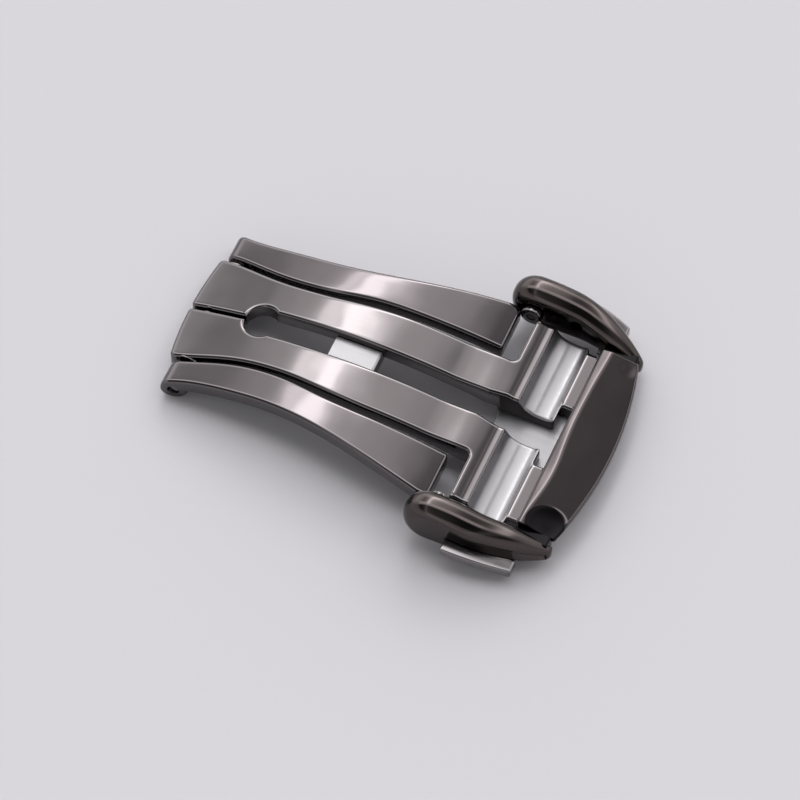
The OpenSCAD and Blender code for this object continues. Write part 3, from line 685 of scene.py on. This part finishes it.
def blade_outline():
    """Outline of the far inner blade and its half of the head, counterclockwise."""
    half = SLIT_HINGE_HALF
    depth = END_BOW - END_BOW_SIDE
    end_r = (half ** 2 + depth ** 2) / (2 * depth)

    def end_x(y):
        return end_r - END_BOW - math.sqrt(end_r ** 2 - y ** 2)

    pts = [(end_x(SPLIT_HALF), SPLIT_HALF)]
    ease = {0: 0.35}
    a0 = math.atan2(SPLIT_HALF, -math.sqrt(KEYHOLE_R ** 2 - SPLIT_HALF ** 2))
    a1 = math.atan2(SLOT_HALF, math.sqrt(KEYHOLE_R ** 2 - SLOT_HALF ** 2))
    for a in np.linspace(a0, a1, 22):
        pts.append((KEYHOLE_X + KEYHOLE_R * math.cos(a), KEYHOLE_R * math.sin(a)))
    for x, y, r in ((HEAD_X - 0.9, SLOT_HALF, 0.5), (HEAD_X + 0.6, HEAD_SLOT_HALF, 0.5),
                    (TROUGH_END, HEAD_SLOT_HALF, 0.25), (TROUGH_END, NOTCH_HALF, 0.2),
                    (LIP_END, NOTCH_HALF, 0), (LIP_END, HEAD_HALF, 0),
                    (TROUGH_END + 0.1, HEAD_HALF, 0.15), (TROUGH_END - 0.15, HEAD_REACH, 0.2),
                    (HEAD_X, HEAD_REACH, 0.15)):
        ease[len(pts)] = r
        pts.append((x, y))
    for a in quarter(9):
        pts.append((HEAD_X - NECK_R + NECK_R * math.cos(a),
                    BLADE_EDGE + NECK_R - NECK_R * math.sin(a)))
    for x in np.linspace(HEAD_X - NECK_R - 0.4, end_x(half - SLIT_W) + 0.02, 70):
        beside_slit = float(slit_edge(x) - slit_width(x))
        pts.append((x, beside_slit if x < EDGE_FROM_X else BLADE_EDGE))
    ease[len(pts) - 1] = 0.45
    for y in np.linspace(half - SLIT_W, SPLIT_HALF, 14)[1:-1]:
        pts.append((end_x(y), y))
    return rounded(pts, [ease.get(i, 0) for i in range(len(pts))])


def blade_top(x, y):
    return head_top(x)


def blade_under(x, y):
    x = np.asarray(x, float)
    return np.where(x < HEAD_X - 0.05, wrist_curve(np.minimum(x, HEAD_X), BLADE_T), BASE_T)


for mirror, side in SIDES:
    shell = plan_slab(blade_outline(), blade_top, blade_under, BAR_EDGE_R, 0.22, rows=7,
                      side_r=BAR_SIDE_R, fine_x=FINE_FROM_X)
    knuckle = drum(KNUCKLE_R, KNUCKLE_R, KNUCKLE_R, SPLIT_HALF, BLADE_KNUCKLE_END, 0.1, 72)
    blade = make_object(f"inner_blade_body_{side}", *joined(shell, knuckle), GREY, "inner_leaf",
                        "grey_steel", mirror, satin=(SATIN, RIDGE_X + 0.15, TROUGH_END - 0.1))
    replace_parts(blade, f"inner_blade_{side}")


def bridge():
    """Plate under the blades, with a pad that stands up into the slot between them."""
    x = np.linspace(BRIDGE_X, BRIDGE_END, 40)
    parts = []
    for high, low, half, r, end_r in ((BLADE_T, BLADE_T + BRIDGE_T, BRIDGE_HALF, 0.1, 0.08),
                                      (PAD_DEPTH, BLADE_T + 0.2, PAD_HALF, 0.06, 0.06)):
        top, under = round_end(x, wrist_curve(x, high), wrist_curve(x, low), BRIDGE_END, end_r)
        parts.append(side_slab(x, top, under, flat(-half), flat(half), r, r))
    return joined(*parts)


def base_plate():
    """Plate under the head, with two round corners."""
    x, y, r = BASE_END - BASE_CORNER, BASE_HALF - BASE_CORNER, BASE_CORNER
    outline = [(HEAD_X, -BASE_HALF), (x, -BASE_HALF)]
    outline += [(x + r * math.sin(a), -y - r * math.cos(a)) for a in quarter(8)[1:]]
    outline += [(x + r * math.cos(a), y + r * math.sin(a)) for a in quarter(8)]
    outline += [(HEAD_X, BASE_HALF)]
    return plan_slab(outline, flat(BASE_T), flat(0), 0.1, 0.6)


hinge_pin = drum(KNUCKLE_R, KNUCKLE_R, HINGE_PIN_R, -HINGE_PIN_HALF, HINGE_PIN_HALF, 0.1)
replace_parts(make_object("bridge_plate", *bridge(), LIT_BRIDGE_STEEL, "inner_leaf", "plate_steel"),
            "middle_bridge")
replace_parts(make_object("base_plate", *base_plate(), PLATE, "inner_leaf", "plate_steel"),
            "head_base_plate")
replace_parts(make_object("hinge_pin", *hinge_pin, PIN, "inner_leaf", "pin_steel"),
            "main_hinge_pin")
for mirror, side in SIDES:
    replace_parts(make_object(f"stud_{side}", *turned(STUD_X, STUD_Y, STUD), PIN, "inner_leaf",
                            "pin_steel", mirror), f"catch_stud_{side}")


# Cover

def arm_heights(x):
    """Upper and lower face of an arm: a round nose, then a top that falls in an arc."""
    nose = np.sqrt(np.maximum(NOSE_R ** 2 - np.minimum(x - PIVOT_X, 0) ** 2, 0))
    arc = np.sqrt(ARM_TOP_R ** 2 - np.maximum(x - PIVOT_X, 0) ** 2)
    top = np.where(x < PIVOT_X, PIVOT_Z + nose, PIVOT_Z + NOSE_R - ARM_TOP_R + arc)
    under = np.where(x < PIVOT_X, PIVOT_Z - nose, PIVOT_Z - NOSE_R)
    return top, under


ARM_OUTER = np.vstack([
    [[PIVOT_X - NOSE_R, ARM_Y + ARM_T], [PIVOT_X + 3, ARM_Y + ARM_T]],
    bezier((PIVOT_X + 3, ARM_Y + ARM_T), (PIVOT_X + 5.6, ARM_Y + ARM_T),
           (ARM_END - 1.7, ARM_Y - TIP_IN + TIP_T + 1.4), (ARM_END, ARM_Y - TIP_IN + TIP_T))[1:]])
ARM_INNER = np.array([[PIVOT_X - NOSE_R, ARM_Y], [DRAW_X - 0.4, ARM_Y], [DRAW_X, ARM_Y - 0.02],
                      [DRAW_X + 0.4, ARM_Y - 0.07], [ARM_END, ARM_Y - TIP_IN]])


def arm():
    """Arm of the cover, drawn in to a thin tip beside the visor."""
    x = np.concatenate([PIVOT_X - NOSE_R * np.cos(quarter(26)),
                        np.arange(PIVOT_X + 0.16, ARM_END - 0.3, 0.16),
                        ARM_END - 0.25 * (1 - np.sin(quarter(8)))])
    top, under = round_end(x, *arm_heights(x), ARM_END, 0.25)
    return side_slab(x, top, under, along(ARM_INNER), along(ARM_OUTER), ARM_SIDE_R, ARM_EDGE_R,
                     rows=14, across=2)


def button_pocket():
    """Room for a button in the side of an arm, arched like the button and open outwards."""
    out_y, low_z = 15, -1
    x = np.linspace(BUTTON_X - BUTTON_GAP, BUTTON_END + BUTTON_GAP, 40)
    top = BUTTON_Z - BUTTON_TOP_R + np.sqrt((BUTTON_TOP_R + BUTTON_GAP) ** 2 - (x - PIVOT_X) ** 2)
    verts = [(u, y, z) for u, high in zip(x, top)
             for y, z in ((POCKET_Y, low_z), (out_y, low_z), (out_y, high), (POCKET_Y, high))]
    return verts, tube_faces(len(x), 4, lying=True)


# Where the visor bends from its front slope to its rear slope: x by y, then smoothed
VISOR_BEND = np.array([(-9.1, 32.85), (-7.5, 32.95), (-5.5, 33.4), (-3, 33.55), (-1, 33.3),
                       (1.5, 33.18), (4, 33.2), (6, 33.3), (9.1, 33.5)])
BEND_Y = np.linspace(-9.2, 9.2, 369)
BEND_X = np.mean([np.interp(BEND_Y + near, VISOR_BEND[:, 0], VISOR_BEND[:, 1])
                  for near in np.linspace(-1.3, 1.3, 27)], axis=0)


def visor_height(x, y):
    """Height of the visor's upper face, with a scoop at each end."""
    soft = 0.07
    past = soft * np.logaddexp(0, (x - np.interp(y, BEND_Y, BEND_X)) / soft)
    z = VISOR_Z + 0.03 + VISOR_FRONT * (x - VISOR_X) - (VISOR_FRONT + VISOR_SLOPE) * past
    for side, shift, depth in ((-1, -0.35, 0.34), (1, 0.0, 0.05)):
        d2 = (x - VISOR_X - SCOOP_MID - shift) ** 2 + (y - side * (VISOR_HALF - SCOOP_IN)) ** 2
        dent = z - depth + SCOOP_R - np.sqrt(np.maximum(SCOOP_R ** 2 - d2, 1e-6))
        dent = np.where(d2 < SCOOP_R ** 2, dent, 99)
        blend = np.clip(0.5 + (dent - z) / (2 * soft), 0, 1)
        z = dent * (1 - blend) + z * blend - soft * blend * (1 - blend)
    return z


def visor():
    """Grid wrapped round the visor's side view: front edge, top, bowed rear edge, under."""
    front_r, rear_r, end_r = 0.2, 0.16, 0.12
    ends = end_r * (1 - np.cos(quarter(5)))
    ys = np.concatenate([-VISOR_HALF + ends,
                         np.linspace(-VISOR_HALF + 0.14, VISOR_HALF - 0.14, 190),
                         VISOR_HALF - ends[::-1]])
    flat_end = VISOR_X + VISOR_T
    under_slope = VISOR_FALL / (VISOR_END - flat_end)
    verts = []
    for y in ys:
        past = max(abs(y) - VISOR_HALF + end_r, 0)
        pinch = end_r - math.sqrt(max(end_r ** 2 - past ** 2, 0))
        front = VISOR_X + pinch
        rear = float(VISOR_END - BOW_R + np.sqrt(BOW_R ** 2 - y ** 2))
        line = [(front + front_r * (1 - math.sin(a)), "low", front_r * (1 - math.cos(a)))
                for a in quarter(8)]
        line += [(front + front_r * (1 - math.cos(a)), "top", front_r * (1 - math.sin(a)))
                 for a in quarter(8)]
        line += [(u, "top", 0.0) for u in np.linspace(VISOR_X + front_r, rear - rear_r, 54)[1:-1]]
        rear -= pinch
        line += [(rear - rear_r * (1 - math.sin(a)), "top", rear_r * (1 - math.cos(a)))
                 for a in quarter(8)]
        line += [(rear - rear_r * (1 - math.cos(a)), "low", rear_r * (1 - math.sin(a)))
                 for a in quarter(6)]
        for u, where, depth in line:
            if where == "top":
                z = float(visor_height(np.array([u]), np.array([y]))[0]) - depth - pinch
            else:
                z = VISOR_Z - VISOR_T - max(u - flat_end, 0) * under_slope + depth + pinch
            verts.append((u, y, z))
    m, rings = len(line), len(ys)
    faces = [(k * m + i, (k + 1) * m + i, (k + 1) * m + (i + 1) % m, k * m + (i + 1) % m)
             for k in range(rings - 1) for i in range(m)]
    faces.append(tuple(reversed(range(m))))
    faces.append(tuple(range((rings - 1) * m, rings * m)))
    return np.array(verts), faces


def end_block():
    """Block between one end of the visor and its arm."""
    front, rear, visor_side = VISOR_X + 0.02, 35.6, 8.97
    outline = [(front, visor_side), (rear, visor_side), (rear - 0.05, 10.0), (front, 10.3)]
    return plan_slab(outline, flat(2.5), flat(1.06), 0.12, 0.4)


def cover_stop():
    """Block under the visor, between the two tongues."""
    front, rear, half = STUD_X - 0.6, STUD_X + 0.6, 0.5
    outline = [(front, -half), (rear, -half), (rear, half), (front, half)]
    return plan_slab(outline, flat(2.75), flat(CARRIER_TOP), 0.05, 0.3)


BOSS = [(0.55, CARRIER_TOP), (0.6, CARRIER_TOP + 0.05), (0.6, 2.3)]
for mirror, side in SIDES:
    piece = make_object(f"cover_arm_{side}", *arm(), SHADED_ARM_STEEL, "cover", "black_steel", mirror)
    cut(piece, *button_pocket(), mirror)
    cut(piece, *hole(BAR_HOLE_X, BAR_HOLE_Z, BAR_HOLE_R, 9.0, POCKET_Y + 0.15), mirror)
    cut(piece, *hole(PIVOT_X, PIVOT_Z, PIVOT_PIN_R + 0.04, 9.0, PIVOT_PIN_END + 0.1), mirror)
    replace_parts(piece, "cover_frame")
    # The end blocks wear painted shade, not a finish of their own.
    make_object(f"cover_end_{side}", *end_block(), PAINTED_SHADE_BLACK, "cover", "black_steel", mirror)
make_object("cover_visor", *visor(), VISOR, "cover", "black_steel")
for mirror, side in SIDES:
    make_object(f"cover_boss_{side}", *turned(RIVET_X, RIVET_Y, BOSS), COVER, "cover",
                "black_steel", mirror)
make_object("cover_stop", *cover_stop(), COVER, "cover", "black_steel")


# Push buttons, their tongues and springs

def button():
    """Button plate with an arched top and a bowed outer face."""
    r = BUTTON_R
    x = np.concatenate([BUTTON_X + r * (1 - np.cos(quarter(7))),
                        np.linspace(BUTTON_X + r + 0.02, BUTTON_END - r - 0.02, 60),
                        BUTTON_END - r * (1 - np.cos(quarter(7)[::-1]))])
    mid_z = BUTTON_Z - BUTTON_TOP_R
    top = mid_z + np.sqrt(BUTTON_TOP_R ** 2 - (x - PIVOT_X) ** 2)
    under = mid_z + np.sqrt((BUTTON_TOP_R - BUTTON_H) ** 2 - (x - PIVOT_X) ** 2)
    front = r - np.sqrt(np.maximum(r * r - np.maximum(BUTTON_X + r - x, 0) ** 2, 0))
    top, under = round_end(x, top - front, under + front, BUTTON_END, r)
    inner_y = BUTTON_Y - BUTTON_T
    verts, faces = side_slab(
        x, top, under, flat(inner_y),
        lambda u: BUTTON_Y - BUTTON_BOW_R + np.sqrt(BUTTON_BOW_R ** 2 - (u - BUTTON_X) ** 2), r, r)
    verts[:, 2] -= BUTTON_DROOP * (verts[:, 1] - inner_y)
    return verts, faces


def tongue():
    """Sliding tongue, and the neck that joins it to the button."""
    neck_x, neck_end, neck_y = BUTTON_END - 1.65, BUTTON_END - 0.05, 10.27
    inner_y, rear_x = 9.5, TONGUE_X + TONGUE_W
    outline = [(TONGUE_X, TONGUE_END), (rear_x, TONGUE_END), (rear_x, neck_y), (neck_end, neck_y),
               (neck_end, neck_y + 1.6), (neck_x, neck_y + 1.6), (neck_x, inner_y),
               (TONGUE_X, inner_y)]
    return plan_slab(outline, flat(TONGUE_Z + TONGUE_T), flat(TONGUE_Z), 0.04, 0.5, 0.04)


def coil():
    """Round wire wound in eight turns along Y, behind a tongue."""
    turns, per_turn, around = 8, 20, 8
    radius = SPRING_R - WIRE_R
    count = turns * per_turn
    verts = []
    for i in range(count + 1):
        a = 2 * math.pi * i / per_turn
        y = SPRING_Y + WIRE_R + (TONGUE_END - SPRING_Y - 2 * WIRE_R) * i / count
        out = np.array([math.cos(a), 0, math.sin(a)])
        for k in range(around):
            b = 2 * math.pi * k / around
            verts.append(np.array([STUD_X, y + WIRE_R * math.sin(b), SPRING_Z])
                         + out * (radius + WIRE_R * math.cos(b)))
    return np.array(verts), tube_faces(count + 1, around)


KEYHOLE_LOW, KEYHOLE_HIGH = 1, 2
for mirror, side in SIDES:
    body = f"push_button_{side}"
    plate = make_object(f"button_plate_{side}", *button(), BUTTON, body, "button_steel", mirror)
    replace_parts(plate, f"push_button_{side}")
    slide = make_object(f"button_tongue_{side}", *tongue(), PLATE, body, "button_steel", mirror)
    for y, r in ((STUD_Y, 0.45), (STUD_Y + 0.6, 0.75)):
        cut(slide, *turned(STUD_X, y, [(r, KEYHOLE_LOW), (r, KEYHOLE_HIGH)]), mirror)
    cut(slide, *box_shell((STUD_X - 0.45, STUD_Y, KEYHOLE_LOW),
                          (STUD_X + 0.45, STUD_Y + 0.6, KEYHOLE_HIGH)), mirror)

for mirror, side in SIDES:
    spring = make_object(f"coil_spring_{side}", *coil(), PIN, "cover", "pin_steel", mirror)
    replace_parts(spring, f"button_spring_{side}")
    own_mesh(spring)

for name, look in (("latch_carrier_plate", PLATE), ("carrier_rivet_far", PIN),
                   ("carrier_rivet_near", PIN)):
    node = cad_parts[name]
    node.data.materials.clear()
    node.data.materials.append(look)


# Floor, light and camera

def floor():
    """Plain pale floor, in metres."""
    half = 3.0
    mesh = bpy.data.meshes.new("floor")
    mesh.from_pydata([(-half, -half, 0), (half, -half, 0), (half, half, 0), (-half, half, 0)], [],
                     [(0, 1, 2, 3)])
    mat = bpy.data.materials.new("pale_floor")
    mat.use_nodes = True
    shader = mat.node_tree.nodes["Principled BSDF"]
    shader.inputs["Roughness"].default_value = 0.8
    shader.inputs["Base Color"].default_value = (0.55, 0.54, 0.57, 1)
    mesh.materials.append(mat)
    obj = bpy.data.objects.new("floor", mesh)
    bpy.context.scene.collection.objects.link(obj)


# Brightness of the sky by its angle from overhead towards +X, in degrees: a long soft box
SKY = [(-90, 0.4), (-72, 0.9), (-56, 0.7), (-48, 0.45), (-40, 0.64), (-35, 0.9), (-31, 1.08),
       (-28.5, 1.25), (-26.3, 1.7), (-24.6, 3.2), (-23.2, 3.3), (-22.0, 2.8), (-20.6, 5.0),
       (-17.2, 4.8), (-15.2, 2.9), (-12.8, 1.85), (-10.2, 1.4), (-7.9, 1.2), (-3, 1.1), (1.5, 0.95),
       (5, 0.66), (9, 0.34), (15, 0.28), (22, 0.36), (28, 0.6), (32, 2.4), (37, 2.4), (41, 0.7),
       (50, 0.45), (60, 0.3), (90, 0.15)]
# How it fades along Y, from the near side to the far side
FADE = [(-1.0, 0.1), (-0.6, 0.12), (-0.1, 0.1), (0.1, 0.1), (0.36, 0.95), (0.6, 1.0), (0.82, 0.95),
        (0.95, 0.3), (1.0, 0.2)]
# Two strips along X, by Y: over the clasp, to draw light lines on its edges, and low on the far
# side; and how far they reach, by the angle from overhead
STRIPS = [(-1.0, 0.0), (-0.02, 0.0), (0.05, 1.5), (0.24, 1.5), (0.34, 0.0), (0.66, 0.0),
          (0.75, 0.9), (0.88, 0.9), (0.94, 0.0), (1.0, 0.0)]
STRIP_SPAN = [(-90, 0.0), (-60, 0.2), (-50, 1.0), (20, 1.0), (35, 0.2), (90, 0.0)]
# Plain glow of the room all round, by height
GLOW = [(-1.0, 0.3), (0.0, 0.5), (0.5, 0.42), (0.68, 0.0), (1.0, 0.0)]
SKY_PEAK, SKY_TINT, LIGHT = 5.0, (1, 0.985, 0.99), 1.5


def studio_sky():
    """World: a soft box that runs across the sky, dim on the camera's side."""
    world = bpy.data.worlds.new("studio")
    bpy.context.scene.world = world
    world.use_nodes = True
    tree = world.node_tree

    def share(value, reach):
        """A value from -reach to reach, as 0 to 1."""
        spread = add_node(tree, "ShaderNodeMapRange", Value=value, From_Min=-reach, From_Max=reach)
        return spread.outputs["Result"]

    def ramp(at, reach, stops, peak, tint=(1, 1, 1)):
        """Colours by a share, from stops that lie between -reach and reach."""
        node = add_node(tree, "ShaderNodeValToRGB", Fac=at)
        node.color_ramp.interpolation = "EASE"
        points = node.color_ramp.elements
        shares = [(place + reach) / (2 * reach) for place, _ in stops]
        for place in shares[1:-1]:
            points.new(place)
        for point, place, (_, value) in zip(points, shares, stops):
            point.position = place
            point.color = tuple(value / peak * c for c in tint) + (1,)
        return node.outputs["Color"]

    place = tree.nodes.new("ShaderNodeTexCoord").outputs["Generated"]
    way = add_node(tree, "ShaderNodeSeparateXYZ", Vector=place).outputs
    angle = share(arithmetic(tree, "ARCTAN2", way["X"], way["Z"]), math.pi / 2)
    depth = share(way["Y"], 1)
    height = share(way["Z"], 1)
    box = mix(tree, "RGBA", 1, ramp(angle, 90, SKY, SKY_PEAK, SKY_TINT), ramp(depth, 1, FADE, 1),
              "MULTIPLY")
    strips = mix(tree, "RGBA", 1, ramp(depth, 1, STRIPS, SKY_PEAK), ramp(angle, 90, STRIP_SPAN, 1),
                 "MULTIPLY")
    lights = mix(tree, "RGBA", 1, box, strips, "ADD")
    whole = mix(tree, "RGBA", 1, lights, ramp(height, 1, GLOW, SKY_PEAK), "ADD")
    sky = tree.nodes["Background"]
    sky.inputs["Strength"].default_value = SKY_PEAK * LIGHT
    feed(tree, sky.inputs["Color"], whole)


# The photograph's view: angles in radians, lengths in millimetres of the CAD frame
AZIMUTH, ELEVATION, ROLL = 0.40077, 1.01229, 0.0115912
AIM, DISTANCE, RIGHT_BY, DOWN_BY = (-2.715, 0, 2.575), 463.5, 2.567, 2.753
LENS, SENSOR = 252.1, 36


def camera():
    """Camera at the photograph's angle."""
    back = Vector((math.sin(AZIMUTH) * math.cos(ELEVATION),
                   -math.cos(AZIMUTH) * math.cos(ELEVATION), math.sin(ELEVATION)))
    level = (-back).cross(Vector((0, 0, 1))).normalized()
    raised = level.cross(-back).normalized()
    right = math.cos(ROLL) * level + math.sin(ROLL) * raised
    up = -math.sin(ROLL) * level + math.cos(ROLL) * raised
    data = bpy.data.cameras.new("camera")
    data.lens = LENS
    data.sensor_width = SENSOR
    data.clip_start = 0.01
    data.clip_end = 20
    obj = bpy.data.objects.new("camera", data)
    bpy.context.scene.collection.objects.link(obj)
    spot = (Vector(AIM) + DISTANCE * back + RIGHT_BY * right - DOWN_BY * up) * MM
    turn = Matrix((right, up, back)).transposed().to_4x4()
    obj.matrix_world = Matrix.Translation(spot) @ turn
    bpy.context.scene.camera = obj


floor()
studio_sky()
camera()
bpy.context.scene.view_settings.view_transform = "Standard"
